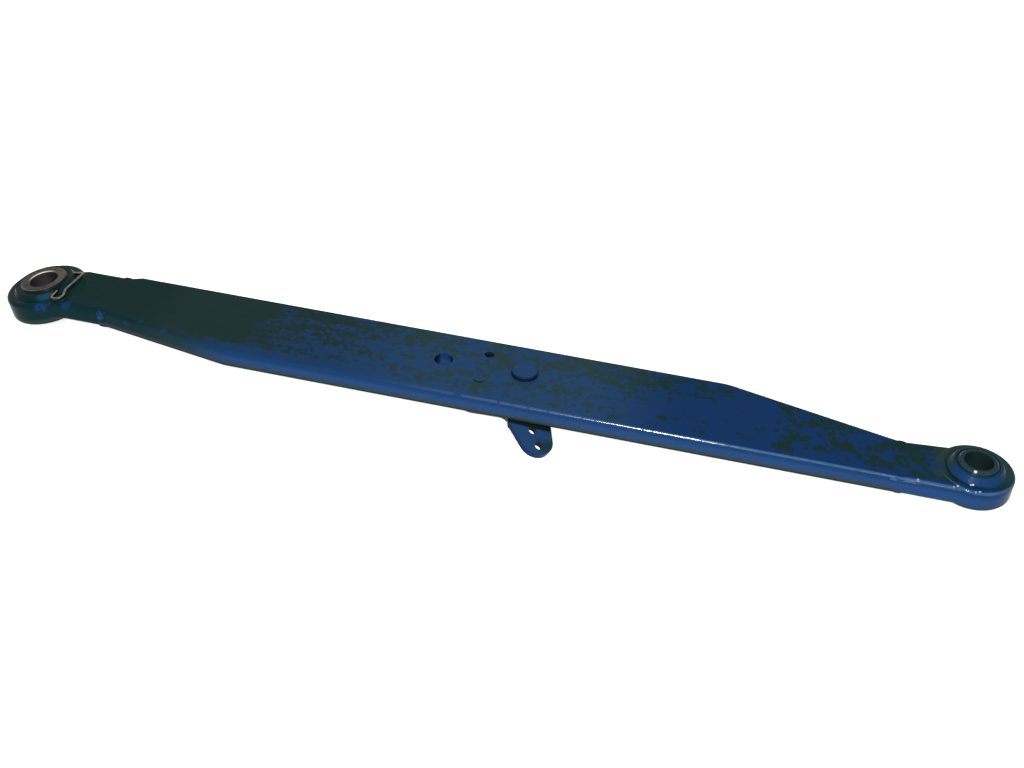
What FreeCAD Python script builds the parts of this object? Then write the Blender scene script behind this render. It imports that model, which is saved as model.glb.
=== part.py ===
# Lower lift arm of a tractor's three-point linkage.
# A flat bar carries a forged eye welded to each end. Each eye holds a ball with a cross bore, so
# the arm can swivel on the tractor's pin and on the implement's pin. The implement's eye is cranked
# down and carries a wire clip. A bent bracket with an ear is riveted under the middle of the bar.
#
# Frame: origin at the centre of the front (tractor's) ball. +X runs along the bar away from the
# implement, +Z is the axis of the front ball's bore, and -Y is the side that the bracket's ear
# points to. Lengths are in millimetres and angles in degrees.

import FreeCAD
import Part
import Sketcher
import math
import os

Vector = FreeCAD.Vector

# Driving sizes. Each row is the alias, its value and what it means.
SIZES = [
    # the bar
    ("link_length", 909.0, "from ball centre to ball centre, along the bar"),
    ("bar_thick", 19.0, "thickness of the bar and of both necks"),
    ("bar_width", 92.0, "full width of the bar"),
    ("bar_shift", 14.0, "from the front ball's centre to the bar's centre line"),
    ("bar_edge_round", 3.0, "rounding of the bar's long edges"),
    ("shoulder_round", 40.0, "rounding of the two shoulders, seen from above"),
    ("front_shoulder", 228.0, "from the front ball to the far shoulder"),
    ("rear_shoulder", 210.0, "from the rear ball to the near shoulder"),
    ("rear_corner_length", 9.0, "length of the small chamfer at the far rear corner"),
    # the welds
    ("front_seam", 66.0, "from the front ball to the middle of the front weld"),
    ("rear_seam", 75.0, "from the rear ball to the middle of the rear weld"),
    ("weld_width", 8.0, "width of each weld along the bar"),
    ("weld_proud", 0.7, "how far a weld's beads stand out of the two edges"),
    ("weld_toe", 2.0, "length of the slope at a bead's toes"),
    # holes in the bar
    ("lift_hole_radius", 9.0, "hole for the lift rod's pin"),
    ("lift_hole_x", -495.0, "place of the lift rod's hole along the bar"),
    ("hole_row_off", 2.7, "how far the row of holes lies off the bar's centre line"),
    ("peg_hole_radius", 4.6, "two holes for the bracket's peg, one for each hand of arm"),
    ("peg_x", -455.0, "place of the peg holes along the bar"),
    ("peg_off", 19.8, "from the row to each peg hole"),
    ("rivet_x", -416.0, "place of the bracket's rivet along the bar"),
    # the front eye and its ball
    ("front_neck_near", 32.0, "from the front ball down to the neck's near edge"),
    ("front_neck_far", 22.0, "from the front ball up to the neck's far edge, at the weld"),
    ("front_neck_flare", 6.0, "how much further out that edge would lie beside the ball"),
    ("front_neck_round", 4.0, "rounding of the front neck's edges"),
    ("front_eye_radius", 34.3, "outside of the front eye"),
    ("front_ring_top", 10.2, "from the mid plane to the front ring's upper face"),
    ("front_ring_foot", 11.2, "from the mid plane to the front ring's lower face"),
    ("front_ring_round", 3.5, "rounding of the front ring"),
    ("front_boss_height", 16.5, "from the mid plane to the front boss's top"),
    ("front_boss_top", 22.0, "radius of the front boss at its top"),
    ("front_boss_foot", 26.5, "radius of the front boss at its foot"),
    ("front_ball_radius", 25.0, "radius of the front ball"),
    ("front_ball_width", 38.6, "width of the front ball over its flats"),
    ("front_bore_radius", 12.7, "bore of the front ball"),
    # the rear eye and its ball
    ("crank_angle", 12.0, "how far the rear eye is bent down"),
    ("crank_margin", 6.0, "from the end of the neck's blend to the fold"),
    ("rear_neck_width", 64.0, "width of the rear neck"),
    ("rear_neck_off", 2.75, "how far the rear neck's middle lies to the near side of the ball"),
    ("rear_shift", 26.8, "from the front ball's centre line to the rear ball's"),
    ("rear_neck_round", 5.0, "rounding of the rear neck's edges"),
    ("rear_eye_radius", 39.7, "outside of the rear eye"),
    ("rear_ring_top", 10.8, "from the mid plane to the rear ring's upper face"),
    ("rear_ring_foot", 13.0, "from the mid plane to the rear ring's lower face"),
    ("rear_ring_round", 4.0, "rounding of the rear ring"),
    ("rear_boss_height", 15.5, "from the mid plane to the rear boss's top"),
    ("rear_boss_top", 28.5, "radius of the rear boss at its top"),
    ("rear_boss_foot", 32.0, "radius of the rear boss at its foot"),
    ("rear_ball_radius", 28.5, "radius of the rear ball"),
    ("rear_ball_width", 35.0, "width of the rear ball over its flats"),
    ("rear_bore_radius", 14.35, "bore of the rear ball"),
    # fits
    ("ball_gap", 0.3, "gap between a ball and its socket"),
    ("bore_chamfer", 0.8, "chamfer at both ends of each ball's bore"),
    ("neck_blend", 10.0, "inside rounding where a neck meets its eye"),
    ("ring_lap", 1.2, "how far each thick ring stands out over the neck's own round end"),
    ("fit_gap", 0.15, "radial gap round the rivet and the peg"),
    # the wire clip, in the rear eye's own plane
    ("wire_radius", 1.6, "radius of the clip's wire"),
    ("wire_height", 13.2, "height of the wire over the rear eye's mid plane"),
    ("pivot_y", 16.5, "from the eye's middle to the clip's far leg"),
    ("leg_tip_x", 22.0, "where the tip of the far leg ends in its hole"),
    ("span_far_x", 36.0, "far end of the wire's run in front of the boss"),
    ("span_near_x", 31.4, "near end of that run"),
    ("span_near_y", 14.1, "how far to the near side that run ends"),
    ("loop_out_x", 37.0, "outer corner of the finger loop"),
    ("loop_out_y", 32.6, "how far the outer corner reaches to the near side"),
    ("loop_in_x", 22.6, "inner corner of the finger loop"),
    ("loop_in_y", 29.8, "how far the inner corner reaches to the near side"),
    ("tail_x", 23.2, "place of the loop's tail"),
    ("tail_y", 17.0, "where the tail ends, in its slot"),
    ("leg_bend", 3.0, "bend radius between the far leg and the run"),
    ("span_bend", 8.0, "bend radius between the run and the loop"),
    ("loop_bend", 5.6, "bend radius of the loop's two corners"),
    ("pivot_gap", 0.06, "radial gap between the wire and its drilled hole"),
    ("slot_gap", 0.5, "gap on both sides of the loop's tail in its slot"),
    ("slot_end", 9.0, "from the eye's middle to the slot's blind end"),
    # the bracket
    ("plate_thick", 6.0, "thickness of the bracket's plate"),
    ("bend_radius", 4.0, "inside radius of the bracket's bend"),
    ("ear_angle", 25.5, "how far the ear is bent down"),
    ("ear_skew", 21.5, "angle of the bend line off square to the bar"),
    ("bend_x", -414.0, "place of the bend line along the bar"),
    ("bend_y", -28.5, "place of the same point across the bar"),
    ("bend_near", 8.0, "bend line's length to the near side of that point"),
    ("bend_far", 50.0, "bend line's length to the far side of that point"),
    ("base_rear_x", -466.0, "rear end of the bracket's base"),
    ("base_inset", 7.5, "from the bar's near edge to the base's near edge"),
    ("base_slope", 1.7, "how much further in that edge lies beside the ear"),
    ("base_corner_x", -423.5, "where the base's near edge turns into the ear"),
    ("base_far_y", 30.0, "far edge of the base"),
    ("base_front_x", -405.0, "front end of the base's far edge"),
    ("base_round", 8.0, "rounding of the base's corners"),
    ("ear_inner_round", 10.0, "inside rounding between the base and the ear"),
    ("ear_tip_u", 27.8, "from the bend line to the middle of the ear's tip"),
    ("ear_tip_b", 0.5, "place of that middle along the bend line"),
    ("ear_tip_radius", 16.5, "radius of the ear's tip"),
    ("ear_hole_radius", 4.0, "two holes in the ear"),
    ("upper_hole_u", 18.8, "upper hole, from the bend line"),
    ("upper_hole_b", 5.3, "upper hole, along the bend line"),
    ("lower_hole_u", 33.3, "lower hole, from the bend line"),
    ("lower_hole_b", -3.3, "lower hole, along the bend line"),
    # the rivet and the peg
    ("rivet_radius", 7.0, "shank of the bracket's rivet"),
    ("rivet_head_radius", 12.6, "radius of the rivet's head above the bar"),
    ("rivet_head_height", 4.6, "height of that head"),
    ("rivet_head_bevel", 0.9, "bevel round that head"),
    ("rivet_end_radius", 11.5, "radius of the head formed under the bracket"),
    ("rivet_end_height", 5.0, "height of the formed head"),
    ("peg_proud", 0.7, "how far the peg's peened end stands above the bar"),
    ("peg_end_radius", 6.0, "radius of the peened end and of the peg's head"),
    ("peg_head_height", 3.0, "height of the peg's head under the bracket"),
]

doc = FreeCAD.newDocument("tractor_lift_arm")
sheet = doc.addObject("Spreadsheet::Sheet", "sizes")
for row, (alias, value, meaning) in enumerate(SIZES, start=1):
    sheet.set("A%d" % row, alias)
    sheet.set("B%d" % row, str(value))
    sheet.set("C%d" % row, meaning)
    sheet.setAlias("B%d" % row, alias)
doc.recompute()


def size(alias):
    """Value of one driving size."""
    return float(getattr(sheet, alias))


# Expressions that more than one sub-part uses.
HALF = "sizes.bar_thick / 2"
NEAR_EDGE = "sizes.bar_shift - sizes.bar_width / 2"
FAR_EDGE = "sizes.bar_shift + sizes.bar_width / 2"
HOLE_ROW = "sizes.bar_shift + sizes.hole_row_off"
REAR_X = "-sizes.link_length"
FRONT_BAR_END = "-sizes.front_seam - sizes.weld_width / 2"
FRONT_NECK_END = "-sizes.front_seam + sizes.weld_width / 2"
REAR_BAR_END = "-sizes.link_length + sizes.rear_seam + sizes.weld_width / 2"
REAR_NECK_END = "-sizes.link_length + sizes.rear_seam - sizes.weld_width / 2"
REAR_NECK_NEAR = "sizes.rear_shift - sizes.rear_neck_off - sizes.rear_neck_width / 2"
REAR_NECK_FAR = "sizes.rear_shift - sizes.rear_neck_off + sizes.rear_neck_width / 2"
BLEND_RIM = "(sizes.rear_eye_radius - sizes.ring_lap + sizes.neck_blend)"
BLEND_SIDE = "(sizes.rear_neck_width / 2 - sizes.rear_neck_off + sizes.neck_blend)"
CRANK_REACH = "(sqrt(" + BLEND_RIM + " ^ 2 - " + BLEND_SIDE + " ^ 2) + sizes.crank_margin)"
REAR_DROP = CRANK_REACH + " * sin(sizes.crank_angle)"
REAR_NECK_LENGTH = ("(sizes.rear_seam - sizes.weld_width / 2"
                    " - " + CRANK_REACH + " * cos(sizes.crank_angle))")
REAR_NECK_REACH = CRANK_REACH + " + " + REAR_NECK_LENGTH + " * cos(sizes.crank_angle)"
REAR_NECK_DROP = REAR_NECK_LENGTH + " * sin(sizes.crank_angle)"
FIT = "sizes.fit_gap"


def origin_plane(body, role):
    """The body's own origin plane, such as XY_Plane."""
    return [part for part in body.Origin.OriginFeatures if part.Role == role][0]


def new_body(label):
    """A body that becomes one sub-part."""
    body = doc.addObject("PartDesign::Body", label)
    body.Label = label
    return body


def new_sketch(body, name, role):
    """An empty sketch on one of the body's origin planes."""
    sketch = body.newObject("Sketcher::SketchObject", name)
    sketch.AttachmentSupport = [(origin_plane(body, role), "")]
    sketch.MapMode = "FlatFace"
    return sketch


def bind_point(sketch, geometry, point, across, up):
    """Ties one point of a sketch to two expressions, measured from the sketch's origin."""
    where = sketch.getPoint(geometry, point)
    index = sketch.addConstraint(Sketcher.Constraint("DistanceX", -1, 1, geometry, point, where.x))
    sketch.setExpression("Constraints[%d]" % index, across)
    index = sketch.addConstraint(Sketcher.Constraint("DistanceY", -1, 1, geometry, point, where.y))
    sketch.setExpression("Constraints[%d]" % index, up)


def number(expression):
    """Present value of an expression."""
    return float(sheet.evalExpression(expression))


def polygon(body, name, role, corners, arcs=()):
    """A closed sketch through corners that are pairs of expressions.

    Its sides are straight, but for quarter rounds: arcs gives the side's index and its centre.
    """
    sketch = new_sketch(body, name, role)
    count = len(corners)
    places = [Vector(number(across), number(up), 0) for across, up in corners]
    centres = dict(arcs)
    for i in range(count):
        start = places[i]
        end = places[(i + 1) % count]
        if i in centres:
            middle = Vector(number(centres[i][0]), number(centres[i][1]), 0)
            bulge = (start + end - middle * 2).normalize() * (start - middle).Length
            sketch.addGeometry(Part.Arc(start, middle + bulge, end), False)
        else:
            sketch.addGeometry(Part.LineSegment(start, end), False)
    for i in range(count):
        sketch.addConstraint(Sketcher.Constraint("Coincident", i, 2, (i + 1) % count, 1))
    for i, (across, up) in enumerate(corners):
        bind_point(sketch, i, 1, across, up)
    for i, (across, _) in centres.items():
        where = sketch.getPoint(i, 3)
        index = sketch.addConstraint(Sketcher.Constraint("DistanceX", -1, 1, i, 3, where.x))
        sketch.setExpression("Constraints[%d]" % index, across)
    return sketch


def circles(body, name, role, holes):
    """A sketch of circles, each given by the expressions of its centre and radius."""
    sketch = new_sketch(body, name, role)
    for i, (across, up, radius) in enumerate(holes):
        sketch.addGeometry(Part.Circle(Vector(40 * i, 0, 0), Vector(0, 0, 1), 5), False)
        bind_point(sketch, i, 3, across, up)
        index = sketch.addConstraint(Sketcher.Constraint("Radius", i, 5))
        sketch.setExpression("Constraints[%d]" % index, radius)
    return sketch


def pad(body, name, sketch, length, symmetric=False, reverse=False):
    """Pads a sketch by an expression."""
    feature = body.newObject("PartDesign::Pad", name)
    feature.Profile = sketch
    feature.Midplane = symmetric
    feature.Reversed = reverse
    feature.setExpression("Length", length)
    doc.recompute()
    return feature


def cut_through(body, name, sketch):
    """Cuts a sketch through the whole body, both ways."""
    feature = body.newObject("PartDesign::Pocket", name)
    feature.Profile = sketch
    feature.Type = "ThroughAll"
    feature.Midplane = True
    doc.recompute()
    return feature


def turn(body, name, sketch, kind="PartDesign::Revolution"):
    """Turns a profile, drawn in the XZ plane, round the body's Z axis."""
    feature = body.newObject(kind, name)
    feature.Profile = sketch
    feature.ReferenceAxis = (sketch, ["V_Axis"])
    feature.Angle = 360
    doc.recompute()
    return feature


def edges_where(feature, test):
    """Names of the feature's edges whose middle point and direction pass a test."""
    names = []
    for i, edge in enumerate(feature.Shape.Edges, start=1):
        start = edge.valueAt(edge.FirstParameter)
        end = edge.valueAt(edge.LastParameter)
        middle = edge.valueAt((edge.FirstParameter + edge.LastParameter) / 2)
        if test(start, middle, end):
            names.append("Edge%d" % i)
    return names


def round_edges(body, name, base, names, radius):
    """Rounds the named edges of the base feature."""
    feature = body.newObject("PartDesign::Fillet", name)
    feature.Base = (base, names)
    feature.setExpression("Radius", radius)
    doc.recompute()
    return feature


def bevel_edges(body, name, base, names, width):
    """Bevels the named edges of the base feature."""
    feature = body.newObject("PartDesign::Chamfer", name)
    feature.Base = (base, names)
    feature.setExpression("Size", width)
    doc.recompute()
    return feature


def is_upright(start, end):
    """True for an edge that runs along Z."""
    return abs(start.x - end.x) < 0.01 and abs(start.y - end.y) < 0.01


# The bar: tapered on its near side at the rear, and on its far side at the front.
bar = new_body("bar")
bar_outline = polygon(bar, "bar_outline", "XY_Plane", [
    (REAR_BAR_END, REAR_NECK_NEAR),
    (REAR_X + " + sizes.rear_shoulder", NEAR_EDGE),
    (FRONT_BAR_END, NEAR_EDGE),
    (FRONT_BAR_END, "sizes.front_neck_far"),
    ("-sizes.front_shoulder", FAR_EDGE),
    (REAR_BAR_END + " + sizes.rear_corner_length", FAR_EDGE),
    (REAR_BAR_END, REAR_NECK_FAR),
])
bar_blank = pad(bar, "bar_blank", bar_outline, "sizes.bar_thick", symmetric=True)
shoulder_x = (-size("link_length") + size("rear_shoulder"), -size("front_shoulder"))
shoulders = edges_where(bar_blank, lambda a, m, b: is_upright(a, b)
                        and min(abs(m.x - x) for x in shoulder_x) < 0.01)
bar_shouldered = round_edges(bar, "bar_shoulders", bar_blank, shoulders, "sizes.shoulder_round")
long_edges = edges_where(bar_shouldered, lambda a, m, b: abs(a.z - b.z) < 0.01
                         and abs(a.x - b.x) > 0.01)
bar_rounded = round_edges(bar, "bar_edges", bar_shouldered, long_edges, "sizes.bar_edge_round")
bar_holes = circles(bar, "bar_holes", "XY_Plane", [
    ("sizes.lift_hole_x", HOLE_ROW, "sizes.lift_hole_radius"),
    ("sizes.peg_x", HOLE_ROW + " + sizes.peg_off", "sizes.peg_hole_radius"),
    ("sizes.peg_x", HOLE_ROW + " - sizes.peg_off", "sizes.peg_hole_radius"),
    ("sizes.rivet_x", HOLE_ROW, "sizes.rivet_radius + " + FIT),
])
cut_through(bar, "bar_drilled", bar_holes)


def round_end(body, name, radius):
    """The round end of a neck, as thick as the bar."""
    outline = circles(body, name + "_end_outline", "XY_Plane", [
        ("0", "0", radius + " - sizes.ring_lap"),
    ])
    return pad(body, name + "_end", outline, "sizes.bar_thick", symmetric=True)


def blend_neck(body, name, neck, radius, rounding):
    """Blends the neck into its round end, then rounds the outline but for the welded end."""
    junction = edges_where(neck, lambda a, m, b: is_upright(a, b)
                           and abs(math.hypot(m.x, m.y) - radius) < 0.1)
    blended = round_edges(body, name + "_blend", neck, junction, "sizes.neck_blend")
    rim = edges_where(blended, lambda a, m, b: abs(a.z - b.z) < abs(a.x - b.x) + 0.1
                      and abs(a.z - m.z) < abs(a.x - m.x) + 0.1
                      and not runs_across(a, m, b))
    return round_edges(body, name + "_edges", blended, rim, rounding)


def runs_across(start, middle, end):
    """True for an edge that lies square to the neck, as at its fold and its welded end."""
    return abs(start.x - end.x) < 0.01 and abs(start.x - middle.x) < 0.01


def ring(body, name):
    """The thick ring of an eye and its two conical bosses, turned in one profile."""
    of_eye = "sizes." + name
    radius = of_eye + "_eye_radius"
    height = of_eye + "_boss_height"
    top = of_eye + "_boss_top"
    foot = of_eye + "_boss_foot"
    upper = of_eye + "_ring_top"
    lower = of_eye + "_ring_foot"
    rounding = of_eye + "_ring_round"
    outline = polygon(body, name + "_ring_outline", "XZ_Plane", [
        ("0", "-" + height),
        (top, "-" + height),
        (foot, "-" + lower),
        (radius + " - " + rounding, "-" + lower),
        (radius, rounding + " - " + lower),
        (radius, upper + " - " + rounding),
        (radius + " - " + rounding, upper),
        (foot, upper),
        (top, height),
        ("0", height),
    ], [
        (3, (radius + " - " + rounding, rounding + " - " + lower)),
        (5, (radius + " - " + rounding, upper + " - " + rounding)),
    ])
    return turn(body, name + "_ring", outline)


def seat(body, name, ball_radius):
    """The round seat of the ball, open at the top and bottom of its eye."""
    ball_space = body.newObject("PartDesign::SubtractiveSphere", name)
    ball_space.setExpression("Radius", ball_radius + " + sizes.ball_gap")
    doc.recompute()
    return ball_space


# The front eye: a thick forged ring with a conical boss on both faces, and a short level neck.
front_eye = new_body("front_eye")
round_end(front_eye, "front_neck", "sizes.front_eye_radius")
front_neck_outline = polygon(front_eye, "front_neck_outline", "XY_Plane", [
    (FRONT_NECK_END, "-sizes.front_neck_near"),
    ("0", "-sizes.front_neck_near"),
    ("0", "sizes.front_neck_far + sizes.front_neck_flare"),
    (FRONT_NECK_END, "sizes.front_neck_far"),
])
front_neck = pad(front_eye, "front_neck", front_neck_outline, "sizes.bar_thick", symmetric=True)
blend_neck(front_eye, "front_neck", front_neck, size("front_eye_radius") - size("ring_lap"),
           "sizes.front_neck_round")
ring(front_eye, "front")
seat(front_eye, "front_seat", "sizes.front_ball_radius")

# The rear eye, in its own frame: the neck leaves the ring at the crank's angle.
rear_eye = new_body("rear_eye")
round_end(rear_eye, "rear_neck", "sizes.rear_eye_radius")
rear_neck_outline = polygon(rear_eye, "rear_neck_outline", "XZ_Plane", [
    ("0", HALF),
    (CRANK_REACH + " + " + HALF + " * tan(sizes.crank_angle / 2)", HALF),
    (REAR_NECK_REACH + " + " + HALF + " * sin(sizes.crank_angle)",
     HALF + " * cos(sizes.crank_angle) - " + REAR_NECK_DROP),
    (REAR_NECK_REACH + " - " + HALF + " * sin(sizes.crank_angle)",
     "-" + HALF + " * cos(sizes.crank_angle) - " + REAR_NECK_DROP),
    (CRANK_REACH + " - " + HALF + " * tan(sizes.crank_angle / 2)", "-" + HALF),
    ("0", "-" + HALF),
])
rear_neck_outline.setExpression("AttachmentOffset.Base.z", "sizes.rear_neck_off")
rear_neck = pad(rear_eye, "rear_neck", rear_neck_outline, "sizes.rear_neck_width", symmetric=True)
rear_trim_outline = polygon(rear_eye, "rear_trim_outline", "XZ_Plane", [
    (CRANK_REACH + " + " + HALF + " * tan(sizes.crank_angle / 2)", HALF),
    (REAR_NECK_REACH + " + " + HALF + " * sin(sizes.crank_angle)",
     HALF + " * cos(sizes.crank_angle) - " + REAR_NECK_DROP),
    (REAR_NECK_REACH + " + " + HALF + " * sin(sizes.crank_angle)", HALF),
])
rear_trim = cut_through(rear_eye, "rear_trim", rear_trim_outline)
blend_neck(rear_eye, "rear_neck", rear_trim, size("rear_eye_radius") - size("ring_lap"),
           "sizes.rear_neck_round")
ring(rear_eye, "rear")
seat(rear_eye, "rear_seat", "sizes.rear_ball_radius")


def cut_one_way(body, name, sketch, reverse):
    """Cuts a sketch to the end of the body, on one side of its plane."""
    feature = body.newObject("PartDesign::Pocket", name)
    feature.Profile = sketch
    feature.Type = "ThroughAll"
    feature.Reversed = reverse
    doc.recompute()
    return feature


def stand_crank(thing):
    """Puts an object, drawn in the rear eye's frame, in the arm's frame."""
    thing.Placement = FreeCAD.Placement(Vector(0, 0, 0), FreeCAD.Rotation(Vector(0, -1, 0), 12))
    thing.setExpression("Placement.Rotation.Angle", "sizes.crank_angle")
    thing.setExpression("Placement.Base.x", REAR_X)
    thing.setExpression("Placement.Base.y", "sizes.rear_shift")
    thing.setExpression("Placement.Base.z", "-" + REAR_DROP)


# The clip's seats in the rear boss: a drilled hole for the far leg and an open slot for the tail.
leg_hole = circles(rear_eye, "leg_hole", "YZ_Plane", [
    ("sizes.pivot_y", "sizes.wire_height", "sizes.wire_radius + sizes.pivot_gap"),
])
cut_one_way(rear_eye, "leg_hole_drilled", leg_hole, True)
SLOT_HALF = "(sizes.wire_radius + sizes.slot_gap)"
tail_slot = polygon(rear_eye, "tail_slot", "XZ_Plane", [
    ("sizes.tail_x - " + SLOT_HALF, "sizes.wire_height - " + SLOT_HALF),
    ("sizes.tail_x + " + SLOT_HALF, "sizes.wire_height - " + SLOT_HALF),
    ("sizes.tail_x + " + SLOT_HALF, "sizes.rear_boss_height + sizes.slot_gap"),
    ("sizes.tail_x - " + SLOT_HALF, "sizes.rear_boss_height + sizes.slot_gap"),
])
tail_slot.setExpression("AttachmentOffset.Base.z", "sizes.slot_end")
cut_one_way(rear_eye, "tail_slot_milled", tail_slot, True)
stand_crank(rear_eye)


def ball(label, radius, width, bore):
    """A ball with two flats and a chamfered cross bore."""
    body = new_body(label)
    round_part = body.newObject("PartDesign::AdditiveSphere", label + "_round")
    flat_angle = "asin(" + width + " / 2 / " + radius + ")"
    round_part.setExpression("Radius", radius)
    round_part.setExpression("Angle1", "-" + flat_angle)
    round_part.setExpression("Angle2", flat_angle)
    doc.recompute()
    bored = cut_through(body, label + "_bored", circles(body, label + "_bore", "XY_Plane", [
        ("0", "0", bore),
    ]))
    radius_now = bored.Shape.BoundBox.XLength / 2
    mouths = edges_where(bored, lambda a, m, b: abs(a.z - b.z) < 0.01 and abs(a.z) > 1
                         and math.hypot(m.x, m.y) < 0.62 * radius_now)
    bevel_edges(body, label + "_mouths", bored, mouths, "sizes.bore_chamfer")
    return body


ball("front_ball", "sizes.front_ball_radius", "sizes.front_ball_width",
     "sizes.front_bore_radius")
rear_ball = ball("rear_ball", "sizes.rear_ball_radius", "sizes.rear_ball_width",
                 "sizes.rear_bore_radius")
stand_crank(rear_ball)


def weld(label, start, end, near, far):
    """A butt weld, ground flush on the broad faces, whose beads stand proud of both edges."""
    body = new_body(label)
    toe = " sizes.weld_toe"
    outline = polygon(body, label + "_outline", "XY_Plane", [
        (start, near),
        (start + " +" + toe, near + " - sizes.weld_proud"),
        (end + " -" + toe, near + " - sizes.weld_proud"),
        (end, near),
        (end, far),
        (end + " -" + toe, far + " + sizes.weld_proud"),
        (start + " +" + toe, far + " + sizes.weld_proud"),
        (start, far),
    ])
    block = pad(body, label + "_block", outline, "sizes.bar_thick", symmetric=True)
    rims = edges_where(block, lambda a, m, b: abs(a.z - b.z) < 0.01 and abs(a.x - b.x) > 0.01)
    round_edges(body, label + "_rims", block, rims, "sizes.bar_edge_round")
    return body


weld("front_weld", FRONT_BAR_END, FRONT_NECK_END, "-sizes.front_neck_near",
     "sizes.front_neck_far")
weld("rear_weld", REAR_NECK_END, REAR_BAR_END, REAR_NECK_NEAR, REAR_NECK_FAR)


def bent_path(points, radii):
    """Straight runs through the points, joined by tangent arcs of the given radii."""
    edges = []
    here = points[0]
    for i in range(1, len(points) - 1):
        back = (points[i - 1] - points[i]).normalize()
        ahead = (points[i + 1] - points[i]).normalize()
        opening = back.getAngle(ahead)
        reach = radii[i - 1] / math.tan(opening / 2)
        middle_way = (back + ahead).normalize()
        centre = points[i] + middle_way * (radii[i - 1] / math.sin(opening / 2))
        arc_start = points[i] + back * reach
        arc_end = points[i] + ahead * reach
        arc_middle = centre - middle_way * radii[i - 1]
        edges.append(Part.LineSegment(here, arc_start).toShape())
        edges.append(Part.Arc(arc_start, arc_middle, arc_end).toShape())
        here = arc_end
    edges.append(Part.LineSegment(here, points[-1]).toShape())
    return Part.Wire(edges)


# The wire clip: a far leg in the drilled hole, a run across the boss and a finger loop.
wire_z = size("wire_height")
wire_path = bent_path([
    Vector(size("leg_tip_x"), size("pivot_y"), wire_z),
    Vector(size("span_far_x"), size("pivot_y"), wire_z),
    Vector(size("span_near_x"), -size("span_near_y"), wire_z),
    Vector(size("loop_out_x"), -size("loop_out_y"), wire_z),
    Vector(size("loop_in_x"), -size("loop_in_y"), wire_z),
    Vector(size("tail_x"), -size("tail_y"), wire_z),
], [size("leg_bend"), size("span_bend"), size("loop_bend"), size("loop_bend")])
wire_section = Part.Wire(Part.makeCircle(size("wire_radius"), wire_path.Vertexes[0].Point,
                                         Vector(1, 0, 0)))
ball_clip = doc.addObject("Part::Feature", "ball_clip")
ball_clip.Label = "ball_clip"
ball_clip.Shape = wire_path.makePipeShell([wire_section], True, True)
stand_crank(ball_clip)

# The bracket, in a frame of its own: X square to the bend line, Y along it, Z = 0 on its top face.
SKEW = "sizes.ear_skew"
OUTER_BEND = "(sizes.bend_radius + sizes.plate_thick)"
BEND_REACH = OUTER_BEND + " * tan(sizes.ear_angle / 2)"


def from_arm(x, y):
    """Expressions of a place in the arm's frame, turned into the bracket's frame."""
    dx = "(" + x + " - sizes.bend_x)"
    dy = "(" + y + " - sizes.bend_y)"
    across = dx + " * cos(" + SKEW + ") - " + dy + " * sin(" + SKEW + ")"
    along = dx + " * sin(" + SKEW + ") + " + dy + " * cos(" + SKEW + ")"
    return across, along


bracket = new_body("bracket")
base_outline = polygon(bracket, "base_outline", "XY_Plane", [
    from_arm("sizes.base_rear_x", NEAR_EDGE + " + sizes.base_inset"),
    from_arm("sizes.base_corner_x", NEAR_EDGE + " + sizes.base_inset + sizes.base_slope"),
    ("-" + BEND_REACH, "-sizes.bend_near"),
    ("-" + BEND_REACH, "sizes.bend_far"),
    from_arm("sizes.base_front_x", "sizes.base_far_y"),
    from_arm("sizes.base_rear_x", "sizes.base_far_y"),
])
base_plate = pad(bracket, "base_plate", base_outline, "sizes.plate_thick", reverse=True)
corner_point = base_outline.getPoint(1, 1)
bend_point = base_outline.getPoint(2, 1)
outer_corners = edges_where(base_plate, lambda a, m, b: is_upright(a, b)
                            and abs(m.x - bend_point.x) > 0.01
                            and math.hypot(m.x - corner_point.x, m.y - corner_point.y) > 0.01)
base_cornered = round_edges(bracket, "base_corners", base_plate, outer_corners,
                            "sizes.base_round")
inner_corner = edges_where(base_cornered, lambda a, m, b: is_upright(a, b)
                           and math.hypot(m.x - corner_point.x, m.y - corner_point.y) < 0.01)
base_blended = round_edges(bracket, "base_inner_corner", base_cornered, inner_corner,
                           "sizes.ear_inner_round")

bend_section = polygon(bracket, "bend_section", "YZ_Plane", [
    ("-sizes.bend_near", "0"),
    ("sizes.bend_far", "0"),
    ("sizes.bend_far", "-sizes.plate_thick"),
    ("-sizes.bend_near", "-sizes.plate_thick"),
])
bend_section.setExpression("AttachmentOffset.Base.z", "-" + BEND_REACH)
bend_section.addGeometry(Part.LineSegment(Vector(0, -10, 0), Vector(10, -10, 0)), True)
bind_point(bend_section, 4, 1, "0", "-" + OUTER_BEND)
bend_section.addConstraint(Sketcher.Constraint("Horizontal", 4))
bend_section.addConstraint(Sketcher.Constraint("Distance", 4, 10))
bend = bracket.newObject("PartDesign::Revolution", "bend")
bend.Profile = bend_section
bend.ReferenceAxis = (bend_section, ["Axis0"])
bend.setExpression("Angle", "sizes.ear_angle")
doc.recompute()

# The ear: tangent flanks run from the bend to a round tip.
TIP = (Vector(size("ear_tip_u"), size("ear_tip_b"), 0), size("ear_tip_radius"))


def tangent_point(start, circle, side):
    """Where a line from start touches a circle, on the side given by +1 or -1."""
    centre, radius = circle
    toward = start - centre
    lean = math.atan2(toward.y, toward.x) + side * math.acos(radius / toward.Length)
    return centre + Vector(math.cos(lean), math.sin(lean), 0) * radius


ear_root_u = (size("bend_radius") + size("plate_thick")) * math.tan(
    math.radians(size("ear_angle") / 2))
near_root = Vector(ear_root_u, -size("bend_near"), 0)
far_root = Vector(ear_root_u, size("bend_far"), 0)
near_touch = tangent_point(near_root, TIP, 1)
far_touch = tangent_point(far_root, TIP, -1)
tip_middle = TIP[0] + Vector(TIP[1], 0, 0)

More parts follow.
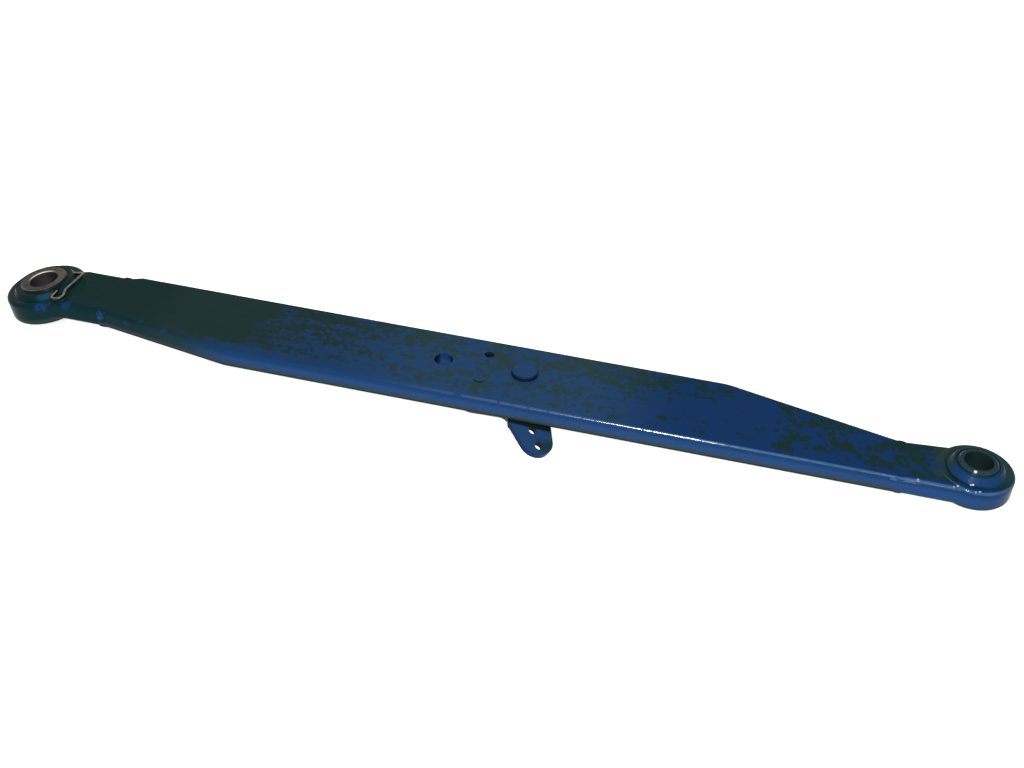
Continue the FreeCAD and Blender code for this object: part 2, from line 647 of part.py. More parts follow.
ear_outline = new_sketch(bracket, "ear_outline", "XY_Plane")
ear_outline.AttachmentOffset = FreeCAD.Placement(Vector(0, 0, 0),
                                                 FreeCAD.Rotation(Vector(0, 1, 0), 25))
ear_outline.setExpression("AttachmentOffset.Rotation.Angle", "sizes.ear_angle")
ear_outline.addGeometry([
    Part.LineSegment(near_root, near_touch),
    Part.Arc(near_touch, tip_middle, far_touch),
    Part.LineSegment(far_touch, far_root),
    Part.LineSegment(far_root, near_root),
], False)
ear_outline.addConstraint([
    Sketcher.Constraint("Coincident", 2, 2, 3, 1),
    Sketcher.Constraint("Coincident", 3, 2, 0, 1),
    Sketcher.Constraint("Tangent", 0, 2, 1, 1),
    Sketcher.Constraint("Tangent", 1, 2, 2, 1),
])
bind_point(ear_outline, 0, 1, BEND_REACH, "-sizes.bend_near")
bind_point(ear_outline, 2, 2, BEND_REACH, "sizes.bend_far")
bind_point(ear_outline, 1, 3, "sizes.ear_tip_u", "sizes.ear_tip_b")
tip_size = ear_outline.addConstraint(Sketcher.Constraint("Radius", 1, size("ear_tip_radius")))
ear_outline.setExpression("Constraints[%d]" % tip_size, "sizes.ear_tip_radius")
ear = pad(bracket, "ear", ear_outline, "sizes.plate_thick", reverse=True)

bracket_holes = circles(bracket, "bracket_holes", "XY_Plane", [
    from_arm("sizes.rivet_x", HOLE_ROW) + ("sizes.rivet_radius + " + FIT,),
    from_arm("sizes.peg_x", HOLE_ROW + " - sizes.peg_off") + ("sizes.peg_hole_radius",),
])
cut_through(bracket, "bracket_drilled", bracket_holes)
ear_holes = circles(bracket, "ear_holes", "XY_Plane", [
    ("sizes.upper_hole_u", "sizes.upper_hole_b", "sizes.ear_hole_radius"),
    ("sizes.lower_hole_u", "sizes.lower_hole_b", "sizes.ear_hole_radius"),
])
ear_holes.AttachmentOffset = ear_outline.AttachmentOffset
ear_holes.setExpression("AttachmentOffset.Rotation.Angle", "sizes.ear_angle")
cut_through(bracket, "ear_drilled", ear_holes)
bracket.Placement = FreeCAD.Placement(Vector(0, 0, 0), FreeCAD.Rotation(Vector(0, 0, -1), 20))
bracket.setExpression("Placement.Rotation.Angle", SKEW)
bracket.setExpression("Placement.Base.x", "sizes.bend_x")
bracket.setExpression("Placement.Base.y", "sizes.bend_y")
bracket.setExpression("Placement.Base.z", "-" + HALF)

# The rivet and the peg that hold the bracket, each turned in one profile.
PLATE_UNDER = "-" + HALF + " - sizes.plate_thick"


def headed_pin(label, x, y, profile):
    """A turned fastener that stands through the bar and the bracket."""
    body = new_body(label)
    turn(body, label + "_turned", polygon(body, label + "_profile", "XZ_Plane", profile))
    body.setExpression("Placement.Base.x", x)
    body.setExpression("Placement.Base.y", y)
    return body


RIVET_TOP = HALF + " + sizes.rivet_head_height"
RIVET_FOOT = PLATE_UNDER + " - sizes.rivet_end_height"
headed_pin("bracket_rivet", "sizes.rivet_x", HOLE_ROW, [
    ("0", RIVET_FOOT),
    ("sizes.rivet_end_radius - sizes.rivet_head_bevel", RIVET_FOOT),
    ("sizes.rivet_end_radius", RIVET_FOOT + " + sizes.rivet_head_bevel"),
    ("sizes.rivet_end_radius", PLATE_UNDER),
    ("sizes.rivet_radius", PLATE_UNDER),
    ("sizes.rivet_radius", HALF),
    ("sizes.rivet_head_radius", HALF),
    ("sizes.rivet_head_radius", RIVET_TOP + " - sizes.rivet_head_bevel"),
    ("sizes.rivet_head_radius - sizes.rivet_head_bevel", RIVET_TOP),
    ("0", RIVET_TOP),
])
PEG_RADIUS = "sizes.peg_hole_radius - " + FIT
headed_pin("bracket_peg", "sizes.peg_x", HOLE_ROW + " - sizes.peg_off", [
    ("0", PLATE_UNDER + " - sizes.peg_head_height"),
    ("sizes.peg_end_radius", PLATE_UNDER + " - sizes.peg_head_height"),
    ("sizes.peg_end_radius", PLATE_UNDER),
    (PEG_RADIUS, PLATE_UNDER),
    (PEG_RADIUS, HALF),
    ("sizes.peg_end_radius", HALF),
    (PEG_RADIUS, HALF + " + sizes.peg_proud"),
    ("0", HALF + " + sizes.peg_proud"),
])
doc.recompute()

# Every object is checked before anything is written.
NODES = ["bar", "front_eye", "rear_eye", "front_weld", "rear_weld", "front_ball", "rear_ball",
         "ball_clip", "bracket", "bracket_rivet", "bracket_peg"]
for thing in doc.Objects:
    if "Invalid" in thing.State or "Error" in thing.State:
        raise RuntimeError("%s failed" % thing.Name)
for node in NODES:
    shape = doc.getObject(node).Shape
    if shape.isNull() or not shape.isValid():
        raise RuntimeError("%s has no valid shape" % node)
    box = shape.BoundBox
    print("%-14s solids %d faces %3d volume %9.0f x %7.1f..%7.1f y %6.1f..%6.1f z %6.1f..%6.1f" % (
        node, len(shape.Solids), len(shape.Faces), shape.Volume, box.XMin, box.XMax,
        box.YMin, box.YMax, box.ZMin, box.ZMax))

os.makedirs("parts", exist_ok=True)
for node in NODES:
    doc.getObject(node).Shape.exportStep("parts/" + node + ".step")
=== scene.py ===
# %% [markdown]
# # A tractor's lower lift arm
# The arm is a flat steel bar with a forged eye welded to each end, a ball in each eye, a wire clip
# and a riveted bracket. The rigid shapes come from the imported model. This lesson gives them their
# paint, bare steel and wire, adds the weld beads and small forms, and lights them like the photo.

# %% The frame
import math
import bmesh
import bpy
from mathutils import Matrix, Vector


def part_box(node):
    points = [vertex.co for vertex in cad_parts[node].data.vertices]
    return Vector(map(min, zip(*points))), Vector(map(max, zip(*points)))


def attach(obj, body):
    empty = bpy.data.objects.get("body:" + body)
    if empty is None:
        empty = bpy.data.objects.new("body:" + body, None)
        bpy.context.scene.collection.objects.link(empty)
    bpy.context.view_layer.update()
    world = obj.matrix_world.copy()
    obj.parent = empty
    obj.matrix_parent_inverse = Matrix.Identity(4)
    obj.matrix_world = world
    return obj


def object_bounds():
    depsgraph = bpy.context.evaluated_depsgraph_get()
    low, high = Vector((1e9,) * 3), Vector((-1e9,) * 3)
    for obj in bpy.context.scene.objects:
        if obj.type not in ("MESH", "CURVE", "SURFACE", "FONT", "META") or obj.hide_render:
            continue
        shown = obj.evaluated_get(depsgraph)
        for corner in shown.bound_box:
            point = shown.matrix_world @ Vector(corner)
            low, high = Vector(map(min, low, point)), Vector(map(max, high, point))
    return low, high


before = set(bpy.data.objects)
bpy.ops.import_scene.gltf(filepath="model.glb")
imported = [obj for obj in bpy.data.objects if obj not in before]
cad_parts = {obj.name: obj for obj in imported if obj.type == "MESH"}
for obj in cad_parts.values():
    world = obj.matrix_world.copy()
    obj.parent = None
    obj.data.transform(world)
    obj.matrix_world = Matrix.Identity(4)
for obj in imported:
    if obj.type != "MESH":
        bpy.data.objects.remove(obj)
cad_box = [list(corner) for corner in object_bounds()]
print("nodes:", sorted(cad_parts))

# %% [markdown]
# ## The camera
# The photo was taken from about 1.3 m, a little left of the middle, 38 degrees above the bar. A
# pinhole camera was fitted to both eyes, the bar's edges and its holes. Its place and its three
# directions are written here, so the render frames the arm exactly as the photo does.

# %% Camera
camera_data = bpy.data.cameras.new("photo_camera")
camera_data.sensor_width = 36.0
camera_data.lens = 1398.70 / 1024 * 36.0
camera = bpy.data.objects.new("photo_camera", camera_data)
bpy.context.scene.collection.objects.link(camera)
bpy.context.scene.camera = camera

turn_about, look_down, roll = 0.190293, 0.658377, -0.0660166
ahead = Vector((-math.sin(turn_about) * math.cos(look_down),
                math.cos(turn_about) * math.cos(look_down), -math.sin(look_down)))
level = Vector((math.cos(turn_about), math.sin(turn_about), 0))
below = ahead.cross(level)
right = level * math.cos(roll) + below * math.sin(roll)
down = below * math.cos(roll) - level * math.sin(roll)
camera_place = Vector((-0.228788, -1.014562, 0.807299))
camera.matrix_world = Matrix((
    (right.x, -down.x, -ahead.x, camera_place.x),
    (right.y, -down.y, -ahead.y, camera_place.y),
    (right.z, -down.z, -ahead.z, camera_place.z),
    (0, 0, 0, 1),
))
print("camera at", [round(c, 3) for c in camera_place], "lens", round(camera_data.lens, 2))

# %% [markdown]
# ## Shader maths
# A material is easier to read when its maths looks like maths. This small class wraps a socket, so
# that `1 - mask` or `height * 0.3 + pits` adds the Math nodes itself. Every other node comes from
# one method that takes its type, its settings and the values or links of its sockets.


# %% A socket that can be used in an expression
class Value:
    """A shader socket with Python's operators."""

    def __init__(self, finish, socket):
        self.finish = finish
        self.socket = socket

    def __add__(self, other):
        return self.finish.maths("ADD", self, other)

    def __sub__(self, other):
        return self.finish.maths("SUBTRACT", self, other)

    def __rsub__(self, other):
        return self.finish.maths("SUBTRACT", other, self)

    def __mul__(self, other):
        return self.finish.maths("MULTIPLY", self, other)

    def __truediv__(self, other):
        return self.finish.maths("DIVIDE", self, other)

    def __pow__(self, other):
        return self.finish.maths("POWER", self, other)

    __radd__ = __add__
    __rmul__ = __mul__


class Finish:
    """One material and the nodes that make it."""

    def __init__(self, name):
        self.material = bpy.data.materials.new(name)
        self.material.use_nodes = True
        self.tree = self.material.node_tree
        self.tree.nodes.clear()

    def node(self, kind, settings=None, values=None, out=0):
        made = self.tree.nodes.new(kind)
        for name, setting in (settings or {}).items():
            if name == "stops":
                ramp = made.color_ramp
                while len(ramp.elements) < len(setting):
                    ramp.elements.new(0.5)
                for element, (place, colour) in zip(ramp.elements, setting):
                    element.position = place
                    element.color = (*colour, 1) if len(colour) == 3 else colour
            else:
                setattr(made, name, setting)
        for name, value in (values or {}).items():
            if isinstance(value, Value):
                self.tree.links.new(value.socket, made.inputs[name])
            elif value is not None:
                made.inputs[name].default_value = value
        return Value(self, made.outputs[out])

    def maths(self, operation, first, second=None, clamp=False):
        return self.node("ShaderNodeMath", {"operation": operation, "use_clamp": clamp},
                         {0: first, 1: second})

    def most(self, first, second):
        return self.maths("MAXIMUM", first, second)

    def least(self, first, second):
        return self.maths("MINIMUM", first, second)

    def between(self, value, low, high):
        """0 below low, 1 above high, and smooth in between. Low may be above high."""
        return self.node("ShaderNodeMapRange", {"interpolation_type": "SMOOTHSTEP"},
                         {"Value": value, "From Min": low, "From Max": high})

    def place(self):
        return self.node("ShaderNodeTexCoord", out="Object")

    def axes(self, vector=None):
        vector = vector or self.place()
        split = self.tree.nodes.new("ShaderNodeSeparateXYZ")
        self.tree.links.new(vector.socket, split.inputs[0])
        return [Value(self, output) for output in split.outputs]

    def facing(self):
        """The surface's direction, in the piece's own frame."""
        return self.axes(self.node("ShaderNodeTexCoord", out="Normal"))

    def stretched(self, scale, vector=None, turned=(0, 0, 0), moved=(0, 0, 0)):
        return self.node("ShaderNodeMapping", {}, {
            "Vector": vector or self.place(), "Scale": scale, "Rotation": turned,
            "Location": moved})

    def noise(self, scale, detail=3.0, roughness=0.5, distortion=0.0, vector=None):
        return self.node("ShaderNodeTexNoise", {}, {
            "Vector": vector or self.place(), "Scale": scale, "Detail": detail,
            "Roughness": roughness, "Distortion": distortion})

    def cells(self, scale, vector=None, metric="EUCLIDEAN", feature="F1", out="Distance",
              random=1.0):
        return self.node("ShaderNodeTexVoronoi", {"distance": metric, "feature": feature}, {
            "Vector": vector or self.place(), "Scale": scale, "Randomness": random}, out)

    def mix(self, factor, first, second):
        first, second = [(*c, 1) if isinstance(c, tuple) and len(c) == 3 else c
                         for c in (first, second)]
        made = self.tree.nodes.new("ShaderNodeMix")
        made.data_type = "RGBA"
        for index, value in ((0, factor), (6, first), (7, second)):
            if isinstance(value, Value):
                self.tree.links.new(value.socket, made.inputs[index])
            else:
                made.inputs[index].default_value = value
        return Value(self, made.outputs[2])

    def bump(self, height, depth, normal=None, strength=1.0):
        """A bump whose height of 1 stands depth metres proud."""
        return self.node("ShaderNodeBump", {}, {
            "Height": height, "Distance": depth, "Strength": strength, "Normal": normal})

    def gloss(self, **values):
        """Ends the material in a Principled shader."""
        named = {name.replace("_", " "): value for name, value in values.items()}
        shader = self.node("ShaderNodeBsdfPrincipled", {}, named)
        end = self.tree.nodes.new("ShaderNodeOutputMaterial")
        self.tree.links.new(shader.socket, end.inputs["Surface"])
        return self.material


print("shader helper ready")

# %% [markdown]
# ## The floor and the light
# The photo shows the arm on plain white. The floor is pale and plain, and the camera and the
# reflections see it a little brighter than the arm does, so it ends up white and still keeps a
# faint shadow. The world does the same: white to look at, dim as a lamp.

# %% Floor
LOWEST = cad_box[0][2]
floor_finish = Finish("pale_floor")
rays = floor_finish.tree.nodes.new("ShaderNodeLightPath")
seen = floor_finish.most(
    Value(floor_finish, rays.outputs["Is Camera Ray"]),
    floor_finish.most(Value(floor_finish, rays.outputs["Is Glossy Ray"]),
                      Value(floor_finish, rays.outputs["Is Transmission Ray"])))
lit_floor = floor_finish.node("ShaderNodeBsdfDiffuse", {}, {"Color": (0.8, 0.8, 0.8, 1)})
glow = floor_finish.node("ShaderNodeEmission", {}, {"Strength": seen * 0.75})
both = floor_finish.node("ShaderNodeAddShader", {}, {0: lit_floor, 1: glow})
floor_end = floor_finish.tree.nodes.new("ShaderNodeOutputMaterial")
floor_finish.tree.links.new(both.socket, floor_end.inputs["Surface"])

floor_shape = bmesh.new()
bmesh.ops.create_grid(floor_shape, x_segments=1, y_segments=1, size=6.0,
                      matrix=Matrix.Translation((-0.45, 0, LOWEST - 0.0005)))
floor_mesh = bpy.data.meshes.new("pale_floor")
floor_shape.to_mesh(floor_mesh)
floor_shape.free()
floor = bpy.data.objects.new("pale_floor", floor_mesh)
bpy.context.scene.collection.objects.link(floor)
floor.data.materials.append(floor_finish.material)
print("floor at z =", round(LOWEST - 0.0005, 4))

# %% World
world = bpy.data.worlds.new("plain_light")
bpy.context.scene.world = world
world.use_nodes = True
sky = world.node_tree
sky.nodes.clear()
sky_rays = sky.nodes.new("ShaderNodeLightPath")
camera_or_gloss = sky.nodes.new("ShaderNodeMath")
camera_or_gloss.operation = "MAXIMUM"
sky.links.new(sky_rays.outputs["Is Camera Ray"], camera_or_gloss.inputs[0])
sky.links.new(sky_rays.outputs["Is Glossy Ray"], camera_or_gloss.inputs[1])
any_of_three = sky.nodes.new("ShaderNodeMath")
any_of_three.operation = "MAXIMUM"
sky.links.new(camera_or_gloss.outputs[0], any_of_three.inputs[0])
sky.links.new(sky_rays.outputs["Is Transmission Ray"], any_of_three.inputs[1])
dim = sky.nodes.new("ShaderNodeBackground")
dim.inputs["Strength"].default_value = 0.32
white = sky.nodes.new("ShaderNodeBackground")
white.inputs["Color"].default_value = (1, 1, 1, 1)
white.inputs["Strength"].default_value = 1.0
choose = sky.nodes.new("ShaderNodeMixShader")
sky.links.new(any_of_three.outputs[0], choose.inputs[0])
sky.links.new(dim.outputs[0], choose.inputs[1])
sky.links.new(white.outputs[0], choose.inputs[2])
sky_end = sky.nodes.new("ShaderNodeOutputWorld")
sky.links.new(choose.outputs[0], sky_end.inputs["Surface"])


# %% Lamps
def lamp(name, place, target, size, watts, colour=(1, 1, 1)):
    """A square soft lamp that shines from one place to another."""
    data = bpy.data.lights.new(name, "AREA")
    data.shape = "SQUARE"
    data.size = size
    data.energy = watts
    data.color = colour
    made = bpy.data.objects.new(name, data)
    made.location = place
    made.rotation_euler = (Vector(target) - Vector(place)).to_track_quat("-Z", "Y").to_euler()
    bpy.context.scene.collection.objects.link(made)
    return made


key = lamp("key_by_camera", (-0.34, -1.12, 0.98), (-0.38, 0, 0), 0.16, 26)
fill = lamp("fill_right", (1.1, -0.9, 1.4), (-0.3, 0, 0), 1.2, 9)
back = lamp("back_low", (-0.40, 1.30, 0.03), (-0.4, 0, 0), 0.12, 12)
back.visible_glossy = False
spark = lamp("spark_right", (0.12, -1.10, 0.90), (-0.1, 0, 0), 0.10, 2.5)
bpy.context.scene.view_settings.view_transform = "Standard"
print("lamps:", key.name, fill.name, back.name, spark.name)

# %% [markdown]
# ## The paint
# The bar is hot-rolled steel under thick gloss paint. Its broad face is mottled: patches of a dark
# olive film break up the blue, few along the near edge and many towards the far edge, and the whole
# implement end drifts to dark teal. The patches have blocky outlines, so cells of two sizes are
# mixed with a soft noise, and a map along the arm says how many patches each place gets.

# %% Colours, as they are on the object
BLUE = (0.0115, 0.0410, 0.1100)
SOFT_BLUE = (0.0065, 0.0330, 0.0900)
DEEP_BLUE = (0.0025, 0.0240, 0.0880)
SIDE_BLUE = (0.0125, 0.0440, 0.1300)
SHADED_BLUE = (0.0060, 0.0310, 0.0950)
OLIVE = (0.0140, 0.0365, 0.0425)
DARK_OLIVE = (0.0040, 0.0200, 0.0195)
TEAL = (0.0070, 0.0235, 0.0230)
DARK_TEAL = (0.0022, 0.0180, 0.0170)
RIM_OLIVE = (0.0240, 0.0370, 0.0370)
DARK = (0.0040, 0.0090, 0.0095)
# Light blue of the painted highlight on the near top edge.
EDGE_HIGHLIGHT_BLUE = (0.0280, 0.0720, 0.1500)
# Near white of the painted glints.
PAINTED_GLINT_WHITE = (0.50, 0.55, 0.60)
CRANK = math.radians(12)


# %% Where a point lies on the arm
def height_of(finish):
    """Height over the arm's mid plane, which the crank bends down at the rear eye."""
    along, _, up = finish.axes()
    bent = (up + 0.00717) * math.cos(CRANK) - (along + 0.909) * math.sin(CRANK)
    return finish.most(up, bent)


def near_band(finish, wide):
    """1 within the given distance of the bar's near edge, which slants in at the rear."""
    along, across, _ = finish.axes()
    edge = finish.most(-0.0080 - (along + 0.830) * 0.183, -0.032)
    return finish.between(across - edge, wide + 0.004, wide)


# %% Patches of dark film
def patches(finish, amount):
    """Blocky patches that cover a share of the surface, which grows with amount from 0.2 to 0.8."""
    along = finish.axes()[0]
    streaky = finish.between(along, -0.520, -0.600)
    streak = finish.axes(finish.cells(1.0, finish.stretched((60, 170, 60)),
                                      metric="CHEBYCHEV", out="Color", random=0.8))[0]
    block = finish.axes(finish.cells(1.0, finish.stretched((115, 130, 60)),
                                     metric="CHEBYCHEV", out="Color", random=0.7))[0]
    small = finish.axes(finish.cells(1.0, finish.stretched((250, 270, 160)),
                                     metric="CHEBYCHEV", out="Color", random=0.7))[1]
    soft = finish.noise(1.0, 2.0, 0.6, 0.3, finish.stretched((24, 55, 30)))
    field = (block + (streak - block) * streaky) * 0.36 + small * 0.36 + soft * 0.60 - 0.16
    return finish.between(field + amount, 0.95, 1.06)


def film_map(finish):
    """How much dark film each place of the arm has, from the implement end to the tractor end."""
    along, across, _ = finish.axes()
    left = (finish.between(along, -0.600, -0.660) * 0.12
            + finish.between(along, -0.660, -0.725) * 0.5)
    clean = finish.between(along, -0.340, -0.250) * 0.18
    cluster = (finish.between(along, -0.188, -0.166) * 0.24
               + finish.between(along, -0.085, -0.065) * 0.13)
    far_band = (finish.between(along, -0.18, -0.27) * 0.13
                + finish.between(along, -0.40, -0.34) * finish.between(along, -0.18, -0.25) * 0.12)
    far = finish.between(across, 0.014, 0.038) * far_band
    near = near_band(finish, 0.011) * finish.between(along, -0.52, -0.59) + near_band(finish, 0.003)
    return left + far + cluster - clean - near * 0.6 + 0.42


# %% Gloss paint
def gloss_paint(name, film=1.0, teal=1.0, coarse=1.0, foot=0.0095, shine=1.0, extra=None):
    """Thick gloss paint. Film is the share of dark patches, coarse the height of the bumps and foot
    the depth of the piece's lower face, over which the sides turn olive and then near black towards
    the bottom. The light near edge is partly gloss and partly a painted highlight; the darker upper
    band of the sides and the dark far edge are painted shade."""
    finish = Finish(name)
    along, across, up = finish.axes()
    height = height_of(finish)
    _, face_across, face_up = finish.facing()
    level_face = finish.between(face_up, 0.80, 0.95)
    shade = finish.noise(9.0, 4.0, 0.55)
    wander = shade * 0.05

    front_part = finish.between(along + wander, -0.34, -0.23)
    lit_part = finish.between(along, -0.62, -0.50)
    top_blue = finish.mix(front_part, finish.mix(lit_part, SOFT_BLUE, BLUE), DEEP_BLUE)
    # Painted shade: each side is a darker blue under its top edge, fading out towards its middle.
    low_side = finish.between(height, 0.0065, 0.0010)
    side_blue = finish.mix(low_side, SHADED_BLUE, SIDE_BLUE)
    base = finish.mix(level_face, side_blue, top_blue)

    patch = patches(finish, film_map(finish)) * level_face * film
    base = finish.mix(patch, base, finish.mix(front_part, finish.mix(lit_part, TEAL, OLIVE),
                                              DARK_OLIVE))
    edge_side = finish.most(1 - level_face, near_band(finish, 0.012))
    inland = finish.between(along, -0.620, -0.715) * (1 - edge_side)
    at_edge = finish.between(along + wander, -0.665, -0.735) * edge_side
    end_teal = finish.mix(finish.between(along, -0.755, -0.800), TEAL, DARK_TEAL)
    base = finish.mix((inland + at_edge) * 0.93 * teal, base, end_teal)
    if extra:
        base = extra(finish, base)

    not_under = finish.between(face_up, -0.99, -0.92)
    # Towards the bottom of the sides the colour turns olive, and near black at the very bottom.
    low_edge_olive = finish.between(height, 0.0085 - foot, 0.0038 - foot) * not_under * (1 - level_face)
    base = finish.mix(low_edge_olive, base, RIM_OLIVE)
    lowest = finish.between(height, 0.0043 - foot, 0.0024 - foot) * not_under
    base = finish.mix(lowest * 0.65, base, DARK)
    near_edge = (finish.between(face_up, 0.25, 0.50) * finish.between(face_up, 0.98, 0.90)
                 * finish.between(face_across, -0.15, -0.40) * finish.between(height, 0.0106, 0.0100))
    # Painted highlight: on the front part of the arm the near top edge is a lighter blue.
    painted_edge_highlight = near_edge * finish.between(along, -0.330, -0.240) * min(shine, 1.0)
    base = finish.mix(painted_edge_highlight * 0.8, base, EDGE_HIGHLIGHT_BLUE)
    # Painted shade: rounded edges that face up and to the far side are darkened nearly to black.
    far_edge = finish.between(face_across, 0.15, 0.45) * finish.between(face_up, 0.25, 0.45)
    base = finish.mix(far_edge * 0.85, base, DARK)

    peel = finish.noise(420.0, 2.0, 0.5)
    waves = finish.noise(70.0, 2.0, 0.5)
    specks = finish.between(finish.cells(240.0), 0.16, 0.05)
    bumps = peel * 0.30 + waves * 0.9 + specks * 0.25 + patch * 0.08
    rough = 0.20 + patch * 0.10 + finish.noise(60.0, 3.0, 0.6) * 0.10
    breaks = finish.between(finish.noise(1.0, 3.0, 0.7, 0.0, finish.stretched((160, 60, 60))),
                            0.36, 0.46)
    towards_front = finish.between(along, -0.570, -0.420) * (
        1 - finish.between(along, -0.250, -0.200) * 0.68)
    return finish.gloss(
        Base_Color=base, Roughness=rough, Specular_IOR_Level=0.03,
        Coat_Weight=near_edge * breaks * towards_front * shine, Coat_Roughness=0.13,
        Normal=finish.bump(bumps, 0.00022 * coarse))


# %% [markdown]
# Some places have paint of their own, and some have painted light and shade. The front eye is olive
# but for its near side, the front bore is painted nearly black as shade, and the upright side of the
# rivet's head is darkened. Each such place is a function that takes the paint so far and returns the
# paint with that place laid over it.


# %% Spots and rings of paint
def spots(finish, places):
    """1 inside soft round spots, each given by its place and its radius in metres."""
    along, across, up = finish.axes()
    total = 0.0
    for x, y, z, radius in places:
        dx, dy, dz = along - x, across - y, up - z
        far = (dx * dx + dy * dy + dz * dz) ** 0.5
        total = finish.between(far, radius, radius * 0.35) + total
    return finish.least(total, 1.0)


def distance_from(finish, x, y):
    """Distance from an upright line."""
    along, across, _ = finish.axes()
    dx, dy = along - x, across - y
    return (dx * dx + dy * dy) ** 0.5


# Places of small bright specks round the front eye, in metres, and their sizes. They are painted
# in place of glints, so they stay put in every view.
PAINTED_GLINT_SPOTS = [
    (-0.0200, -0.0302, 0.0089, 0.0013),
    (-0.0167, -0.0285, 0.0095, 0.0015),
    (-0.0042, -0.0255, 0.0112, 0.0013),
    (-0.0060, -0.0258, 0.0112, 0.0011),
    (-0.0015, -0.0325, 0.0097, 0.0012),
    (0.0019, -0.0318, 0.0100, 0.0013),
    (-0.0510, -0.0300, 0.0090, 0.0016),
]


# %% Paint that belongs to the front end
def front_eye_places(finish, base):
    """Olive film on the far, left and right sides of the front eye, painted shade on its boss and in
    dark lines at its lip and foot, and painted glints.
    """
    along, across, up = finish.axes()
    out = distance_from(finish, 0.0, 0.0)
    ragged = finish.noise(75.0, 3.0, 0.65) * 0.030
    away = finish.between(across + ragged, 0.002, 0.014)
    tip = finish.between(along + across * 0.5 + ragged, 0.028, 0.040)
    left = finish.between(along + ragged, -0.008, -0.018) * finish.between(across, -0.026, -0.014)
    on_eye = finish.between(along, -0.040, -0.032)
    mottle = finish.between(finish.noise(120.0, 3.0, 0.6), 0.36, 0.52)
    film = finish.most(away, finish.most(tip, left)) * on_eye * (mottle * 0.35 + 0.65)
    # Painted shade: the boss, above its foot, is a darker blue.
    cone = finish.between(up, 0.0102, 0.0108) * finish.between(out, 0.0270, 0.0262)
    base = finish.mix(cone * 0.8, base, SHADED_BLUE)
    base = finish.mix(film * 0.92, base, (0.0115, 0.0320, 0.0335))
    # Painted shade: dark lines at the boss's foot and at its lip round the ball, each on one side
    # only.
    mouth = finish.between(out, 0.0207, 0.0200) * finish.between(up, 0.0135, 0.0150)
    foot = (finish.between(out, 0.0260, 0.0265) * finish.between(out, 0.0290, 0.0272)
            * finish.between(up, 0.0096, 0.0100))
    left_side = finish.between(along + across * 0.4, 0.004, -0.010)
    base = finish.mix(foot * left_side * 0.7, base, DARK)
    base = finish.mix(mouth * finish.between(across - along * 0.5, -0.012, 0.004) * 0.7, base, DARK)
    # Painted glints: small near-white spots round the eye.
    return finish.mix(spots(finish, PAINTED_GLINT_SPOTS), base, PAINTED_GLINT_WHITE)


def front_ball_places(finish, base):
    """Dark teal paint with a rusty patch low on its right. Painted shade makes the bore and the round
    zone below its face nearly black, and a painted glint sits on its near rim."""
    along, across, up = finish.axes()
    out = distance_from(finish, 0.0, 0.0)
    inside = finish.between(out, 0.0137, 0.0131)
    low = finish.between(up, 0.0178, 0.0170) * (1 - inside)
    rust = finish.between(along + across * 0.3, 0.006, 0.011) * finish.between(up, 0.012, 0.004)
    rust = rust * finish.between(finish.noise(130.0, 3.0, 0.6), 0.45, 0.6)
    base = finish.mix(0.9, base, (0.0125, 0.0320, 0.0340))
    # Painted glint: a near-white spot on the near rim.
    painted_glint = spots(finish, [(-0.0036, -0.0161, 0.0187, 0.0019)])
    # Painted shade: the round zone below the face, where it sits in the boss, and the inside of the
    # bore are nearly black.
    base = finish.mix(low * 0.85, base, DARK)
    base = finish.mix(inside, base, (0.0060, 0.0170, 0.0170))
    base = finish.mix(painted_glint, base, PAINTED_GLINT_WHITE)
    return finish.mix(inside * rust * 0.8, base, (0.0200, 0.0060, 0.0060))


# %% Paint that belongs to the middle
def head_places(finish, base):
    """Darkens the upright side of a head."""
    upright = finish.between(finish.facing()[2], 0.93, 0.60)
    return finish.mix(upright * 0.9, base, DARK)


def peg_places(finish, base):
    """A dark arc on the near side of the peened end."""
    _, face_across, face_up = finish.facing()
    near_arc = finish.between(face_across, -0.10, -0.25) * finish.between(face_up, 0.98, 0.95)
    return finish.mix(near_arc * 0.85, base, DARK)


def bar_places(finish, base):
    """Painted shade inside the holes, on the walls that face along the arm and all round the spare
    hole, and faint blue near the rear weld.
    """
    along, across, up = finish.axes()
    sideways = finish.maths("ABSOLUTE", finish.facing()[0])
    inner = finish.between(up, 0.0092, 0.0086)
    in_holes = finish.between(along, -0.507, -0.505) * finish.between(along, -0.447, -0.449)
    # Painted shade: the walls of the holes, below the top face, are darkened.
    dark = finish.between(sideways, 0.45, 0.75) * in_holes
    spare = finish.between(distance_from(finish, -0.455, 0.0365), 0.0052, 0.0048)
    base = finish.mix(spots(finish, FAINT_SPOTS) * 0.55, base, (0.0060, 0.0330, 0.1000))
    return finish.mix(finish.most(dark, spare) * inner * 0.9, base, DARK)


def bracket_places(finish, base):
    """The bracket's cut edges are darkened as painted shade, most of all where they lie under the
    bar, and olive film lies by the lower hole. The dark band on the ear is a painted shadow: it
    follows the line where the bar hides the ear in the photo."""
    along, across, up = finish.axes()
    face_up = finish.facing()[2]
    cut = finish.between(face_up, 0.80, 0.60) * finish.between(face_up, -0.80, -0.60)
    film = spots(finish, [(-0.3845, -0.0400, -0.0280, 0.0120), (-0.3740, -0.0330, -0.0280, 0.0080)])
    ragged = finish.between(finish.noise(170.0, 3.0, 0.6), 0.30, 0.48)
    base = finish.mix(film * ragged * 0.9, base, (0.0080, 0.0270, 0.0260))
    # Painted shade: the cut edges are a darker blue.
    base = finish.mix(cut * 0.85, base, (0.0040, 0.0170, 0.0480))
    # Painted shade: the cut edges under the bar and a band along the bar's line are near black.
    shaded = finish.between(across - (along + 0.4133) * 0.374, -0.0345, -0.0326)
    return finish.mix(finish.most(cut * finish.between(across, -0.0310, -0.0285), shaded),
                      base, DARK)


